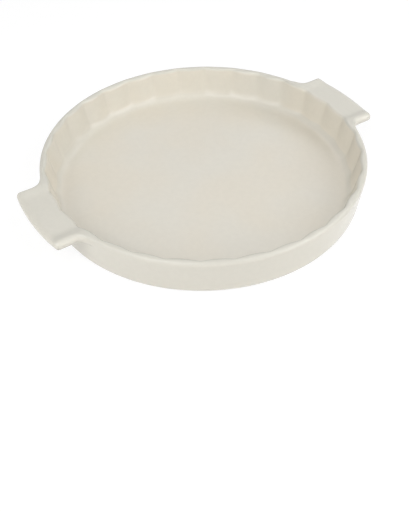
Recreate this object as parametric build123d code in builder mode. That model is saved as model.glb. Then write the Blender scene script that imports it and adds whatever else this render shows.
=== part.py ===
from build123d import *
import os
from math import cos, radians, sin

# A round stoneware pie dish: a smooth tapering outer wall, a fluted inner
# wall, a flat floor and two flat tab handles with raised side edges.
# Millimetres. The origin is on the table under the middle of the dish, +Z is
# up, and the handles lie along X, with a groove between two flutes on that axis.

os.makedirs("parts", exist_ok=True)

# Outside of the dish
rim_height = 38.0          # table to the top of the lip
rim_radius = 150.4         # outer wall carried up to the height of the lip
wall_taper = 4.8           # how much narrower the outside is at the underside
bottom_round = 4.0         # rounding of the bottom edge
lip_outer_round = 3.0      # rounding of the lip towards the outside

# Inside of the dish
floor_thickness = 6.3
wall_thickness = 7.9       # through the crest of a flute, at the lip
flute_count = 32
flute_depth = 3.5          # crest of a flute to the groove beside it, at the lip
flute_draft = 4.2          # how much further in a flute stands at the floor
cove_radius = 4.0          # hollow between the flutes and the floor
cove_sink = 0.25           # how far the hollow runs down into the floor
lip_inner_round = 2.2      # rounding of the lip towards the inside

# Bare ring under the dish
foot_height = 1.2
foot_inset = 11.6          # edge of the underside to the ring
foot_width = 8.0
foot_round = 0.4

# Handles
handle_length = 22.0       # how far a handle stands out from the lip
handle_half_width = 41.6
handle_thickness = 9.0     # at the raised side edges
handle_drop = 0.4          # raised side edges below the top of the lip
handle_corner = 5.4        # corner radius, seen from above
root_radius = 11.0         # hollow corner where a side leaves the wall
root_sink = 2.5            # how deep that hollow corner runs into the wall
edge_round_share = 0.48    # rounding of the edges, as a share of the thickness

# Shallow thumb hollow across each handle and the lip beside it
hollow_depth = 1.6         # below the top of the lip
hollow_inset = 10.6        # side of the handle to the flat part of the hollow
hollow_ramp = 6.0          # width of the slope at each side of it
hollow_round = 7.0         # softness of the foot of the slope

overrun = 10.0             # how far a cutting shape runs past what it cuts

# Places that follow from the sizes above
floor_top = foot_height + floor_thickness
base_radius = rim_radius - wall_taper
foot_radius = base_radius - foot_inset
handle_reach = rim_radius + handle_length
handle_top = rim_height - handle_drop
hollow_floor = rim_height - hollow_depth
hollow_half_width = handle_half_width - hollow_inset

# Roundness of a flute: the circle through its crest and the groove beside it
flute_pitch = 360 / flute_count
crest_radius = rim_radius - wall_thickness
groove_radius = crest_radius + flute_depth
groove_aside = groove_radius * sin(radians(flute_pitch / 2))
groove_behind = groove_radius * cos(radians(flute_pitch / 2)) - crest_radius
flute_radius = (groove_aside**2 + groove_behind**2) / (2 * groove_behind)
post_axis = crest_radius + flute_radius

# The whole dish as if it were solid. The base, the wall and the handles all
# take their outside or their seat from it.
with BuildPart() as blank:
    with BuildSketch(Plane.XZ) as blank_profile:
        with BuildLine():
            Polyline(
                (0, foot_height),
                (base_radius, foot_height),
                (rim_radius, rim_height),
                (0, rim_height),
                close=True,
            )
        make_face()
        fillet(blank_profile.vertices().sort_by(Axis.X)[-1], lip_outer_round)
        low_points = blank_profile.vertices().group_by(Axis.Y)[0]
        fillet(low_points.sort_by(Axis.X)[-1], bottom_round)
    revolve(axis=Axis.Z)

# Floor slab, with the rounded bottom edge of the dish
with BuildPart() as base:
    add(blank.part)
    split(bisect_by=Plane.XY.offset(floor_top), keep=Keep.BOTTOM)
base.part.label = "base"
export_step(base.part, "parts/base.step")

# Ring of bare clay that the dish stands on
with BuildPart() as foot_ring:
    with BuildSketch():
        Circle(foot_radius)
        Circle(foot_radius - foot_width, mode=Mode.SUBTRACT)
    extrude(amount=foot_height)
    fillet(foot_ring.edges().group_by(Axis.Z)[0], foot_round)
foot_ring.part.label = "foot_ring"
export_step(foot_ring.part, "parts/foot_ring.step")

# A flute is the part of a large round post that shows inside the wall. The
# post is wider at the floor, has a hollow at its foot and a round top edge.
with BuildPart() as post:
    with BuildSketch(Plane.XZ) as post_profile:
        with BuildLine():
            Polyline(
                (0, foot_height),
                (flute_radius + flute_draft + overrun, foot_height),
                (flute_radius + flute_draft + overrun, floor_top - cove_sink),
                (flute_radius + flute_draft, floor_top - cove_sink),
                (flute_radius, rim_height),
                (0, rim_height),
                close=True,
            )
        make_face()
        top_points = post_profile.vertices().group_by(Axis.Y)[-1]
        fillet(top_points.sort_by(Axis.X)[-1], lip_inner_round)
        inner_points = post_profile.vertices().group_by(Axis.Y)[1]
        fillet(inner_points.sort_by(Axis.X)[0], cove_radius)
    revolve(axis=Axis.Z)

# One flute of the wall, from groove to groove
with BuildPart() as flute:
    add(blank.part)
    split(bisect_by=Plane.XY.offset(floor_top), keep=Keep.TOP)
    with BuildSketch():
        with BuildLine():
            side = rim_radius + overrun
            Polyline(
                (0, 0),
                (side, 0),
                (side * cos(radians(flute_pitch)), side * sin(radians(flute_pitch))),
                close=True,
            )
        make_face()
    extrude(amount=rim_height + overrun, mode=Mode.INTERSECT)
    with PolarLocations(post_axis, 1, start_angle=flute_pitch / 2):
        add(post.part, mode=Mode.INTERSECT)

# Shallow hollow for the thumbs, cut across the handle and the lip
with BuildPart() as hollow:
    with BuildSketch(Plane.YZ.offset(crest_radius - overrun)) as hollow_profile:
        slope_top = handle_top + overrun
        slope_run = hollow_ramp * (slope_top - hollow_floor) / (handle_top - hollow_floor)
        with BuildLine():
            Polyline(
                (-hollow_half_width - slope_run, slope_top),
                (-hollow_half_width, hollow_floor),
                (hollow_half_width, hollow_floor),
                (hollow_half_width + slope_run, slope_top),
                close=True,
            )
        make_face()
        fillet(hollow_profile.vertices().group_by(Axis.Y)[0], hollow_round)
    extrude(amount=handle_reach - crest_radius + 2 * overrun)

with BuildPart() as fluted_wall:
    with PolarLocations(0, flute_count):
        add(flute.part)
    with PolarLocations(0, 2):
        add(hollow.part, mode=Mode.SUBTRACT)
fluted_wall.part.label = "fluted_wall"
export_step(fluted_wall.part, "parts/fluted_wall.step")

# Tab handle: it grows out of the wall, and its side edges stand up to the lip
with BuildPart() as tab:
    with BuildSketch(Plane.XY.offset(handle_top - handle_thickness)) as tab_outline:
        Circle(handle_reach)
        with Locations((handle_reach / 2, 0)):
            Rectangle(handle_reach, 2 * handle_half_width, mode=Mode.INTERSECT)
        Circle(rim_radius - root_sink)
        corners = tab_outline.vertices().filter_by(lambda v: abs(v.Y) > handle_half_width / 2)
        fillet(corners.group_by(Axis.X)[-1], handle_corner)
        points = tab_outline.vertices().filter_by(lambda v: v.X > 0)
        fillet(points.group_by(Axis.X)[0], root_radius)
    extrude(amount=handle_thickness)
    fillet(tab.faces().filter_by(Axis.Z).edges(), handle_thickness * edge_round_share)
    add(hollow.part, mode=Mode.SUBTRACT)
    add(blank.part, mode=Mode.SUBTRACT)

for name, turn in (("handle_right", 0), ("handle_left", 180)):
    with BuildPart() as handle:
        with Locations(Rotation(0, 0, turn)):
            add(tab.part)
    handle.part.label = name
    export_step(handle.part, f"parts/{name}.step")
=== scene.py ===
from math import atan2, cos, radians, sin, sqrt

import bmesh
import bpy
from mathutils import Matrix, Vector


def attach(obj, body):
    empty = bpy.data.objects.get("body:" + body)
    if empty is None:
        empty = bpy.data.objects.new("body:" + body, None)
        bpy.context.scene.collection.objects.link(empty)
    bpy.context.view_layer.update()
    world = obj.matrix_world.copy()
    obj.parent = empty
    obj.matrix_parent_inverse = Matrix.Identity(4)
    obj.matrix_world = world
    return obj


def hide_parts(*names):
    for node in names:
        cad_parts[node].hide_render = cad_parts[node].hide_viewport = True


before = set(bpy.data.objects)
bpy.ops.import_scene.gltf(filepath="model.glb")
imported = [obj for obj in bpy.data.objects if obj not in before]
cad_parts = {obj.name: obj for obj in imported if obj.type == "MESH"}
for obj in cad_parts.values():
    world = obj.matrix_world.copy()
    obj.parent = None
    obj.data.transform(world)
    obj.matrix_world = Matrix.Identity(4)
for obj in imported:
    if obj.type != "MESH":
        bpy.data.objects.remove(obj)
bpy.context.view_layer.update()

# Base
# The floor of the dish and its flat underside, cast in stoneware slip in one
# go with the wall. A quarter of the casting is drawn ring by ring, in two
# sheets, and the wall is drawn between them.
mm = 0.001                                 # the sizes of the dish are in millimetres
flutes = 32
steps_per_flute = 8
quarter_columns = flutes * steps_per_flute // 4
column_turn = radians(360 / (flutes * steps_per_flute))

# How deep each step from a groove to the crest beside it lies, as a share
depth_shares = (0.95, 0.57, 0.25, 0.06, 0.0)

# Height, radius at the crests and radius at the grooves, from the middle out
floor_outline = (
    (7.5, 121.0, 121.0),
    (7.5, 127.0, 127.2),
    (7.6, 130.6, 131.0),
    (8.2, 133.7, 134.5),
)
under_outline = (
    (1.2, 121.0, 121.0),
    (1.2, 134.6, 134.6),
    (1.2, 141.5, 141.5),
    (1.6, 144.3, 144.3),
    (3.6, 145.9, 145.9),
    (7.5, 146.4, 146.4),
)
floor_edge = len(floor_outline) - 1        # ring number where the wall starts
under_edge = 22                            # ring number where the underside starts
under_middle = under_edge + len(under_outline) - 1


def take(piece):
    """Takes one piece in hand, with nothing else selected, and opens it for shaping."""
    bpy.ops.object.select_all(action="DESELECT")
    piece.select_set(True)
    bpy.context.view_layer.objects.active = piece
    bpy.ops.object.mode_set(mode="EDIT")


casting_mesh = bpy.data.meshes.new("casting")
casting = bpy.data.objects.new("casting", casting_mesh)
bpy.context.collection.objects.link(casting)
for name in ("ring", "column", "row"):
    casting_mesh.attributes.new(name, "INT", "POINT")
take(casting)


def clay():
    """The points of the casting and the numbers that they carry."""
    mesh = bmesh.from_edit_mesh(casting.data)
    numbers = mesh.verts.layers.int
    return mesh, numbers["ring"], numbers["column"], numbers["row"]


def grab(test):
    """Selects the points of the casting whose ring, column and row pass the test."""
    bpy.ops.mesh.select_all(action="DESELECT")
    mesh, ring_of, column_of, row_of = clay()
    for v in mesh.verts:
        v.select = test(v[ring_of], v[column_of], v[row_of])
    mesh.select_flush(True)
    bmesh.update_edit_mesh(casting.data)


def step_in_flute(column):
    """Columns from the nearest groove."""
    step = column % steps_per_flute
    return min(step, steps_per_flute - step)


def start_ring(number, height, radius):
    """Adds a ring and keeps its first quarter."""
    bpy.ops.mesh.select_all(action="DESELECT")
    bpy.ops.mesh.primitive_circle_add(
        vertices=4 * quarter_columns, radius=radius * mm, location=(0, 0, height * mm)
    )
    mesh, ring_of, column_of, row_of = clay()
    for v in mesh.verts:
        if v.select:
            v[ring_of] = number
            v[column_of] = round(atan2(v.co.y, v.co.x) / column_turn)
    grab(lambda ring, column, row: not 0 <= column <= quarter_columns)
    bpy.ops.mesh.delete(type="VERT")


def draw_out(outline, numbers):
    """Draws rings one from another, from the first point of an outline to its last."""
    (height, crest, groove), last = outline[0], numbers[0]
    for (next_height, next_crest, next_groove), number in zip(outline[1:], numbers[1:]):
        grab(lambda ring, column, row: ring == last)
        bpy.ops.mesh.extrude_edges_move(
            TRANSFORM_OT_translate={"value": (0, 0, (next_height - height) * mm)}
        )
        mesh, ring_of, column_of, row_of = clay()
        for v in mesh.verts:
            if v.select:
                v[ring_of] = number
        for step, share in enumerate(depth_shares):
            stretch = (next_crest + share * (next_groove - next_crest)) / (
                crest + share * (groove - crest)
            )
            grab(lambda ring, column, row: ring == number and step_in_flute(column) == step)
            bpy.ops.transform.resize(
                value=(stretch, stretch, 1), center_override=(0, 0, next_height * mm)
            )
        height, crest, groove, last = next_height, next_crest, next_groove, number


start_ring(0, *floor_outline[0][:2])
draw_out(floor_outline, range(floor_edge + 1))
start_ring(under_middle, *under_outline[0][:2])
draw_out(under_outline, range(under_middle, under_edge - 1, -1))

# Fluted wall
# The upright wall, cast in one with the base, with 32 round flutes on its
# inside that fade out over a rounded lip, and a smooth outside that tapers
# down to the base.
wall_outline = (
    floor_outline[-1],
    (10.1, 136.5, 137.9),
    (13.6, 138.0, 140.1),
    (20.5, 139.5, 142.1),
    (29.0, 141.3, 143.9),
    (34.5, 142.4, 145.0),
    (36.9, 143.2, 145.6),
    (37.85, 144.5, 146.5),
    (38.0, 146.2, 147.4),
    (37.9, 147.7, 148.3),
    (37.35, 148.95, 149.05),
    (36.25, 149.7, 149.7),
    (34.9, 149.93, 149.93),
    (33.3, 149.8, 149.8),
    (31.5, 149.6, 149.6),
    (29.4, 149.3, 149.3),
    (27.0, 149.0, 149.0),
    (22.0, 148.3, 148.3),
    (14.0, 147.3, 147.3),
)

draw_out(wall_outline, range(floor_edge, under_edge))
grab(lambda ring, column, row: ring in (under_edge - 1, under_edge))
bpy.ops.mesh.bridge_edge_loops()

# Handles
# Two flat tabs of the same clay, drawn out of the wall under the lip. Their
# side edges stand up as soft beads, and a shallow thumb hollow runs across
# them and the lip.
lip_start, lip_flat = 9, 12                # rings where the lip turns in and runs out flat
seat_top, seat_bottom = 14, 18             # rings between which a handle grows
side_column = 14                           # column of points at the side of a handle
bead_column = side_column - 1
seat_radius = 150.35
tab_top, tab_bottom = 37.98, 28.8
hollow_depth, hollow_end, hollow_ramp = 1.5, 37.4, 9.6

# Ring, inset from the outline and height: the round edge of a tab
edge_outline = (
    (seat_top, 4.1, tab_top),
    (15, 1.0, 36.4),
    (16, 0.0, 33.4),
    (17, 1.0, 30.3),
    (seat_bottom, 4.1, tab_bottom),
)
# Each row of a tab, from the wall outwards: its reach in the middle, the
# point where it meets the side, and the way in from that point
tab_rows = (
    (152.6, (143.6, 45.7), (0.25, -0.69)),
    (155.6, (146.9, 42.8), (0.15, -0.91)),
    (159.0, (151.2, 41.6), (0.0, -1.0)),
    (162.6, (156.5, 41.6), (0.0, -1.0)),
    (166.4, (162.2, 41.6), (0.0, -1.0)),
    (172.65, (168.4, 41.7), (-0.62, -0.78)),
)
bead_way_in = (-0.93, -0.37)               # at the corner, beside the side
# Places of the columns on the outer edge of a tab, from its middle
edge_places = (0, 3.05, 6.1, 9.15, 12.2, 15.2, 18.2, 21.2, 24.1, 27.0, 30.1, 32.6, 34.3, 37.6)
# How far the outer edge follows the hollow down, ring by ring, as shares
edge_drop_shares = {14: 1.13, 15: 0.84, 16: 0.39, 17: 0.0, 18: -0.19}
edge_slim_share = 0.12
edge_bow = 3.2                             # how far the outer edge bows out
tab_half_width = 38.2
gather_rows = 3                            # rows over which the columns gather
wall_spread = 1.035                        # how much wider they stand at the wall


def hollow(y):
    """Depth of the thumb hollow, eased at its ends, at a distance from the middle."""
    share = min(max((hollow_end - abs(y)) / hollow_ramp, 0), 1)
    return hollow_depth * share * share * (3 - 2 * share)


def put(ring, column, row, place):
    """Moves one point of the casting to a place in millimetres."""
    grab(lambda r, c, w: (r, c, w) == (ring, column, row))
    mesh = clay()[0]
    here = next(v.co.copy() for v in mesh.verts if v.select)
    bpy.ops.transform.translate(value=Vector(place) * mm - here)


# The lip runs out flat into the tab, and dips between its side edges
for ring in range(lip_start, seat_top + 1):
    mesh, ring_of, column_of, row_of = clay()
    spots = {
        v[column_of]: v.co / mm
        for v in mesh.verts
        if v[ring_of] == ring and v[column_of] <= side_column
    }
    for column, (x, y, z) in spots.items():
        if column < side_column and ring >= lip_flat:
            z = tab_top
        if column < side_column and ring == seat_top:
            stretch = seat_radius / sqrt(x * x + y * y)
            x, y = x * stretch, y * stretch
        put(ring, column, 0, (x, y, z - hollow(y)))

grab(lambda ring, column, row: seat_top <= ring <= seat_bottom and column <= side_column)
for row_number, (reach, (side_x, side_y), side_way_in) in enumerate(tab_rows, 1):
    bpy.ops.mesh.extrude_region_move(TRANSFORM_OT_translate={"value": (mm, 0, 0)})
    mesh, ring_of, column_of, row_of = clay()
    for v in mesh.verts:
        if v.select:
            v[row_of] = row_number
    outer_edge = row_number == len(tab_rows)
    inner_y = side_y - edge_outline[0][1]
    for column in range(side_column + 1):
        way_in = (-1.0, 0.0) if outer_edge else (0.0, 0.0)
        if column == side_column:
            x, y, way_in = side_x, side_y, side_way_in
        elif outer_edge:
            y = edge_places[column]
            x = reach - edge_bow * (y / edge_places[bead_column]) ** 2
            if column == bead_column:
                way_in = bead_way_in
        else:
            # The columns leave the wall evenly and gather towards the side
            at_wall = max(0, 1 - row_number / gather_rows)
            wall_share = sin(column * column_turn) / sin(side_column * column_turn)
            tab_share = edge_places[column] / tab_half_width
            y = inner_y * (wall_share * at_wall * wall_spread + tab_share * (1 - at_wall))
            x = reach - (reach - side_x) * (y / inner_y) ** 2
        low = hollow(y) / hollow_depth
        for ring, inset, height in edge_outline:
            if outer_edge:
                inset *= 1 - edge_slim_share * low
                height -= edge_drop_shares[ring] * low * hollow_depth
            px, py = x + way_in[0] * inset, y + way_in[1] * inset
            if ring == seat_top and not outer_edge:
                height -= hollow(py)
            put(ring, column, row_number, (px, py, height))
    grab(lambda ring, column, row: row == row_number)

# The drawing out leaves a skin on the middle plane, where the other half joins
grab(lambda ring, column, row: column == 0 and seat_top <= ring <= seat_bottom)
bpy.ops.mesh.delete(type="FACE")

# Parting the casting
# The quarter is mirrored to the whole dish and smoothed. The base, the wall
# and the handles are then parted where the glaze hides their joints, and each
# is closed by a joint face that lies against its neighbour.
merge_gap = 0.01                           # how near the mirrored halves join
for name in ("base", "fluted_wall", "handles"):
    casting.data.materials.append(bpy.data.materials.new(name))


def give_to(name):
    """Gives the selected faces of the casting to a piece."""
    casting.active_material_index = casting.data.materials.find(name)
    bpy.ops.object.material_slot_assign()


for name, test in (
    ("fluted_wall", lambda ring, column, row: True),
    ("base", lambda ring, column, row: ring <= floor_edge),
    ("base", lambda ring, column, row: ring >= under_edge),
    ("handles", lambda ring, column, row: seat_top <= ring <= seat_bottom and column <= side_column),
):
    grab(test)
    give_to(name)
bpy.ops.object.mode_set(mode="OBJECT")

bpy.ops.object.modifier_add(type="MIRROR")
mirror = casting.modifiers[-1]
mirror.use_axis = (True, True, False)
mirror.merge_threshold = merge_gap * mm
bpy.ops.object.modifier_apply(modifier=mirror.name)

bpy.ops.object.mode_set(mode="EDIT")
for edge_ring in (0, under_middle):
    grab(lambda ring, column, row: ring == edge_ring)
    bpy.ops.mesh.fill_grid(span=quarter_columns)
    give_to("base")
bpy.ops.mesh.select_all(action="SELECT")
bpy.ops.mesh.normals_make_consistent(inside=False)
bpy.ops.object.mode_set(mode="OBJECT")
bpy.ops.object.modifier_add(type="SUBSURF")
smooth = casting.modifiers[-1]
smooth.levels = smooth.render_levels = 1
bpy.ops.object.modifier_apply(modifier=smooth.name)
bpy.ops.object.shade_smooth()

# The lie of the glaze at every point, kept so that no joint shows through it
glaze_lie = {tuple(v.co): v.normal.copy() for v in casting.data.vertices}
bpy.ops.object.mode_set(mode="EDIT")
bpy.ops.mesh.select_all(action="SELECT")
bpy.ops.mesh.separate(type="MATERIAL")
bpy.ops.object.mode_set(mode="OBJECT")
parted = {piece.data.materials[0].name: piece for piece in bpy.context.selected_objects}

take(parted.pop("handles"))
bpy.ops.mesh.select_all(action="SELECT")
bpy.ops.mesh.separate(type="LOOSE")
bpy.ops.object.mode_set(mode="OBJECT")
for tab in bpy.context.selected_objects:
    parted["handle_right" if tab.data.vertices[0].co.x > 0 else "handle_left"] = tab

joint_height = 10.0                        # the joint of base and wall lies below this


def close_joint(low=False, side=0, span=None):
    """Closes one open edge of the piece in hand, flat and unseen inside the clay."""
    bpy.ops.mesh.select_all(action="DESELECT")
    mesh = bmesh.from_edit_mesh(bpy.context.object.data)
    for edge in mesh.edges:
        middle = (edge.verts[0].co + edge.verts[1].co) / 2
        here = (middle.z < joint_height * mm) == low and middle.x * side >= 0
        if edge.is_boundary and here:
            edge.select_set(True)
    if not low:
        corner = max((v for v in mesh.verts if v.select), key=lambda v: v.co.y)
        mesh.select_history.add(corner)
    bmesh.update_edit_mesh(bpy.context.object.data)
    if low:
        bpy.ops.mesh.bridge_edge_loops()
    else:
        bpy.ops.mesh.fill_grid(span=span)
    bpy.ops.mesh.faces_shade_flat()


seat_span = 4 * side_column                # faces along the seat of a handle
for name, piece in parted.items():
    piece.name = piece.data.name = "glazed_" + name
    take(piece)
    if name in ("base", "fluted_wall"):
        close_joint(low=True)
    if name == "fluted_wall":
        close_joint(side=1, span=seat_span)
        close_joint(side=-1, span=seat_span)
    if name.startswith("handle"):
        close_joint(span=seat_span)
    bpy.ops.mesh.select_all(action="SELECT")
    bpy.ops.mesh.normals_make_consistent(inside=False)
    bpy.ops.object.mode_set(mode="OBJECT")
    data = piece.data
    data.normals_split_custom_set([
        glaze_lie[tuple(data.vertices[loop].co)] if face.use_smooth else face.normal
        for face in data.polygons
        for loop in face.vertices
    ])
    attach(piece, "root")
    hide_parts(name)

# Glaze
# A cream glaze poured over the whole casting, glossy and a little uneven. It
# has run thick inside and pooled where the wall meets the floor, and that crease
# is painted darker as shade too. It is thin and greyer outside, on the handles
# and on the lip, and the lip and handle tops are painted darker still, partly
# as shade that holds back their highlight.
cream = (0.710, 0.680, 0.602, 1)
warm_cream = (0.720, 0.676, 0.583, 1)
# Cream of the band round the foot of the wall: thicker pooled glaze, with painted shade for the
# crease
pooled_and_shaded_cream = (0.680, 0.650, 0.570, 1)
thin_cream = (0.700, 0.672, 0.594, 1)
# Cream of the lip: thinner glaze there, and painted shade that holds back the lip's highlight
thin_shaded_lip_cream = (0.648, 0.628, 0.556, 1)
cloud_size, mottle_size, gloss_patch_size = 85, 4.5, 40
cloud_low, cloud_high = 0.35, 0.65         # span in which one cream turns to the other
pattern_low, pattern_high = 0.3, 0.7       # span that holds most of a random pattern
fine_detail = 3.0
mottle_dark, mottle_light = 0.99, 1.008
shiny, satin = 0.2, 0.27                   # roughness
crease_height, crease_reach, crease_fade = 10.4, 1.2, 2.9
thin_from, thin_to = 143.5, 147.5          # distance from the middle
lip_from, lip_to = 35.2, 37.4              # height over the table
wave_size, wave_depth = 17, 0.045          # slow swelling of the poured glaze
pit_size, pit_depth = 1.6, 0.0025          # fine orange peel


def lay_pattern(nodes, links, place, size, detail=2.0):
    """A soft random pattern, in patches of about the given size."""
    noise = nodes.new("ShaderNodeTexNoise")
    noise.inputs["Scale"].default_value = 1 / (size * mm)
    noise.inputs["Detail"].default_value = detail
    links.new(place, noise.inputs["Vector"])
    return noise.outputs[0]


def spread(nodes, links, value, low, high, new_low=0.0, new_high=1.0):
    """Turns the span from low to high into the span from new_low to new_high."""
    span = nodes.new("ShaderNodeMapRange")
    span.interpolation_type = "SMOOTHSTEP"
    span.inputs["From Min"].default_value = low
    span.inputs["From Max"].default_value = high
    span.inputs["To Min"].default_value = new_low
    span.inputs["To Max"].default_value = new_high
    links.new(value, span.inputs["Value"])
    return span.outputs[0]


def lay_over(nodes, links, share, under, over, blend="MIX"):
    """Lays one colour over another; each is a colour or a socket."""
    layer = nodes.new("ShaderNodeMix")
    layer.data_type = "RGBA"
    layer.blend_type = blend
    factor, colour_under, colour_over = layer.inputs[0], layer.inputs[6], layer.inputs[7]
    for socket, source in ((factor, share), (colour_under, under), (colour_over, over)):
        if isinstance(source, bpy.types.NodeSocket):
            links.new(source, socket)
        else:
            socket.default_value = source
    return layer.outputs[2]


def raise_surface(nodes, links, height, depth, under=None):
    """Gives the surface a relief of the given depth, over another one."""
    bump = nodes.new("ShaderNodeBump")
    bump.inputs["Distance"].default_value = depth * mm
    links.new(height, bump.inputs["Height"])
    if under:
        links.new(under, bump.inputs["Normal"])
    return bump.outputs[0]


glaze = bpy.data.materials.new("cream_glaze")
glaze.use_nodes = True
nodes, links = glaze.node_tree.nodes, glaze.node_tree.links
shader = nodes["Principled BSDF"]
place = nodes.new("ShaderNodeTexCoord").outputs["Object"]

flat_place = nodes.new("ShaderNodeVectorMath")
flat_place.operation = "MULTIPLY"
flat_place.inputs[1].default_value = (1, 1, 0)
links.new(place, flat_place.inputs[0])
reach_out = nodes.new("ShaderNodeVectorMath")
reach_out.operation = "LENGTH"
links.new(flat_place.outputs[0], reach_out.inputs[0])
place_parts = nodes.new("ShaderNodeSeparateXYZ")
links.new(place, place_parts.inputs[0])

over_crease = nodes.new("ShaderNodeMath")
over_crease.operation = "SUBTRACT"
over_crease.inputs[1].default_value = crease_height * mm
links.new(place_parts.outputs["Z"], over_crease.inputs[0])
off_crease = nodes.new("ShaderNodeMath")
off_crease.operation = "ABSOLUTE"
links.new(over_crease.outputs[0], off_crease.inputs[0])

cloud = lay_pattern(nodes, links, place, cloud_size)
cloud = spread(nodes, links, cloud, cloud_low, cloud_high)
# Band round the crease where the wall meets the floor, darkened for pooled glaze and as painted
# shade
pool_and_shade = spread(nodes, links, off_crease.outputs[0], crease_fade * mm, crease_reach * mm)
outside = spread(nodes, links, reach_out.outputs["Value"], thin_from * mm, thin_to * mm)
# Band at the top of the wall and handles, painted darker for thin glaze and as painted shade over
# its highlight
on_shaded_lip = spread(nodes, links, place_parts.outputs["Z"], lip_from * mm, lip_to * mm)
mottle = lay_pattern(nodes, links, place, mottle_size, fine_detail)
mottle = spread(nodes, links, mottle, pattern_low, pattern_high, mottle_dark, mottle_light)
colour = lay_over(nodes, links, cloud, cream, warm_cream)
colour = lay_over(nodes, links, pool_and_shade, colour, pooled_and_shaded_cream)
colour = lay_over(nodes, links, outside, colour, thin_cream)
colour = lay_over(nodes, links, on_shaded_lip, colour, thin_shaded_lip_cream)
colour = lay_over(nodes, links, 1.0, colour, mottle, blend="MULTIPLY")
links.new(colour, shader.inputs["Base Color"])

gloss = lay_pattern(nodes, links, place, gloss_patch_size)
gloss = spread(nodes, links, gloss, pattern_low, pattern_high, shiny, satin)
links.new(gloss, shader.inputs["Roughness"])

waves = raise_surface(nodes, links, lay_pattern(nodes, links, place, wave_size), wave_depth)
pits = lay_pattern(nodes, links, place, pit_size)
links.new(raise_surface(nodes, links, pits, pit_depth, waves), shader.inputs["Normal"])

for piece in parted.values():
    piece.data.materials.clear()
    piece.data.materials.append(glaze)

# Foot ring
# A low ring under the base, wiped bare of glaze so that the dish can stand in
# the kiln. It shows the warm, dry, gritty stoneware, with dark specks of iron.
buff, pale_buff = (0.52, 0.43, 0.32, 1), (0.60, 0.52, 0.41, 1)
iron = (0.16, 0.11, 0.08, 1)
body_patch_size, grit_size, iron_spacing = 12, 0.7, 2.6
speck_edge, speck_core = 0.14, 0.07        # reach of a speck and of its full colour
grit_dark, grit_light, grit_depth = 0.9, 1.04, 0.06
dry, rubbed = 0.92, 0.78                   # roughness

bare = bpy.data.materials.new("bare_stoneware")
bare.use_nodes = True
nodes, links = bare.node_tree.nodes, bare.node_tree.links
shader = nodes["Principled BSDF"]
place = nodes.new("ShaderNodeTexCoord").outputs["Object"]
body_patches = lay_pattern(nodes, links, place, body_patch_size)
body_patches = spread(nodes, links, body_patches, pattern_low, pattern_high)
grit = lay_pattern(nodes, links, place, grit_size, fine_detail)
specks = nodes.new("ShaderNodeTexVoronoi")
specks.inputs["Scale"].default_value = 1 / (iron_spacing * mm)
links.new(place, specks.inputs["Vector"])
on_speck = spread(nodes, links, specks.outputs["Distance"], speck_edge, speck_core)
colour = lay_over(nodes, links, body_patches, buff, pale_buff)
colour = lay_over(nodes, links, on_speck, colour, iron)
grit_shade = spread(nodes, links, grit, pattern_low, pattern_high, grit_dark, grit_light)
colour = lay_over(nodes, links, 1.0, colour, grit_shade, blend="MULTIPLY")
links.new(colour, shader.inputs["Base Color"])
dryness = spread(nodes, links, grit, pattern_low, pattern_high, dry, rubbed)
links.new(dryness, shader.inputs["Roughness"])
links.new(raise_surface(nodes, links, grit, grit_depth), shader.inputs["Normal"])
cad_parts["foot_ring"].material_slots[0].material = bare

# Studio
# A white sweep that the camera and the gloss see as plain white, and that
# keeps a faint shadow, with round soft lamps hung all around the dish.
white, lit_grey, shadow_grey = (1, 1, 1, 1), (0.85, 0.85, 0.85, 1), (0.2, 0.2, 0.2, 1)
sweep_size = 6                             # metres
paper_glow, room_light = 0.85, 0.03

bpy.ops.mesh.primitive_plane_add(size=sweep_size)
floor = bpy.context.object
floor.name = "studio_floor"
paper = bpy.data.materials.new("white_paper")
paper.use_nodes = True
nodes, links = paper.node_tree.nodes, paper.node_tree.links
lit_paper = nodes["Principled BSDF"]
lit_paper.inputs["Base Color"].default_value = lit_grey
lit_paper.inputs["Roughness"].default_value = 1.0
shaded_paper = nodes.new("ShaderNodeBsdfDiffuse")
shaded_paper.inputs["Color"].default_value = shadow_grey
white_paper = nodes.new("ShaderNodeEmission")
white_paper.inputs["Strength"].default_value = paper_glow
seen_paper = nodes.new("ShaderNodeAddShader")
links.new(shaded_paper.outputs[0], seen_paper.inputs[0])
links.new(white_paper.outputs[0], seen_paper.inputs[1])


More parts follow.
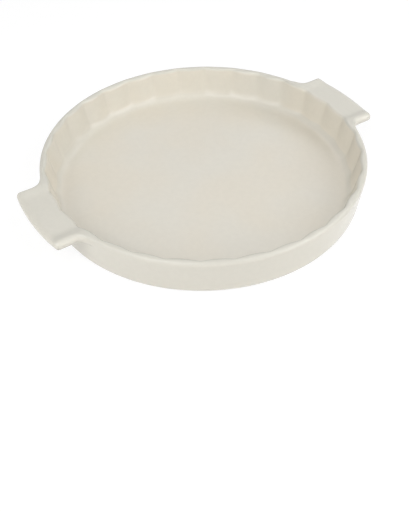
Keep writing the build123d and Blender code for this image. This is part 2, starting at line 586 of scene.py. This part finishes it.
def white_where_seen(nodes, links, seen, unseen, output):
    """Shows one shader to the camera, gloss and glass, and another to the rest."""
    path = nodes.new("ShaderNodeLightPath")
    either = nodes.new("ShaderNodeMath")
    either.operation = "MAXIMUM"
    links.new(path.outputs["Is Camera Ray"], either.inputs[0])
    links.new(path.outputs["Is Glossy Ray"], either.inputs[1])
    any_of = nodes.new("ShaderNodeMath")
    any_of.operation = "MAXIMUM"
    links.new(either.outputs[0], any_of.inputs[0])
    links.new(path.outputs["Is Transmission Ray"], any_of.inputs[1])
    mix = nodes.new("ShaderNodeMixShader")
    links.new(any_of.outputs[0], mix.inputs[0])
    links.new(unseen.outputs[0], mix.inputs[1])
    links.new(seen.outputs[0], mix.inputs[2])
    links.new(mix.outputs[0], output.inputs["Surface"])


white_where_seen(nodes, links, seen_paper, lit_paper, nodes["Material Output"])
floor.data.materials.append(paper)

world = bpy.data.worlds.new("studio")
bpy.context.scene.world = world
world.use_nodes = True
nodes, links = world.node_tree.nodes, world.node_tree.links
room = nodes["Background"]
room.inputs["Color"].default_value = white
room.inputs["Strength"].default_value = room_light
backdrop = nodes.new("ShaderNodeBackground")
backdrop.inputs["Color"].default_value = white
white_where_seen(nodes, links, backdrop, room, nodes["World Output"])

camera_turn = -32.2                        # degrees round the dish, where the camera stands
lamp_distance, lamp_width = 1.6, 1.2       # metres


def hang_lamp(name, turn, tilt, power):
    """Hangs a round soft lamp, turned from the camera and tilted up from the table."""
    around, up = radians(camera_turn + turn), radians(tilt)
    way = Vector((sin(around) * cos(up), -cos(around) * cos(up), sin(up)))
    bpy.ops.object.light_add(type="AREA", location=way * lamp_distance)
    lamp = bpy.context.object
    lamp.name = name
    lamp.data.shape = "DISK"
    lamp.data.size = lamp_width
    lamp.data.energy = power
    lamp.rotation_euler = way.to_track_quat("Z", "Y").to_euler()


hang_lamp("left_lamp", -60, 32, 6.9)
hang_lamp("low_left_lamp", -30, 14, 4.6)
hang_lamp("high_left_lamp", -30, 54, 9.6)
hang_lamp("low_right_lamp", 60, 14, 8.5)
hang_lamp("high_right_lamp", 60, 54, 5.2)
hang_lamp("right_lamp", 90, 32, 6.6)
hang_lamp("back_right_lamp", 150, 32, 1.9)
hang_lamp("back_lamp", 180, 54, 2.8)

camera_place = (-0.322219, -0.511675, 0.481693)
camera_angles = (radians(46.27407), radians(0.84918), radians(-32.9443))
lens_length, sensor_width = 56.786, 36     # millimetres

bpy.ops.object.camera_add(location=camera_place, rotation=camera_angles)
camera = bpy.context.object
camera.data.lens = lens_length
camera.data.sensor_width = sensor_width
bpy.context.scene.camera = camera
bpy.context.scene.view_settings.view_transform = "Standard"
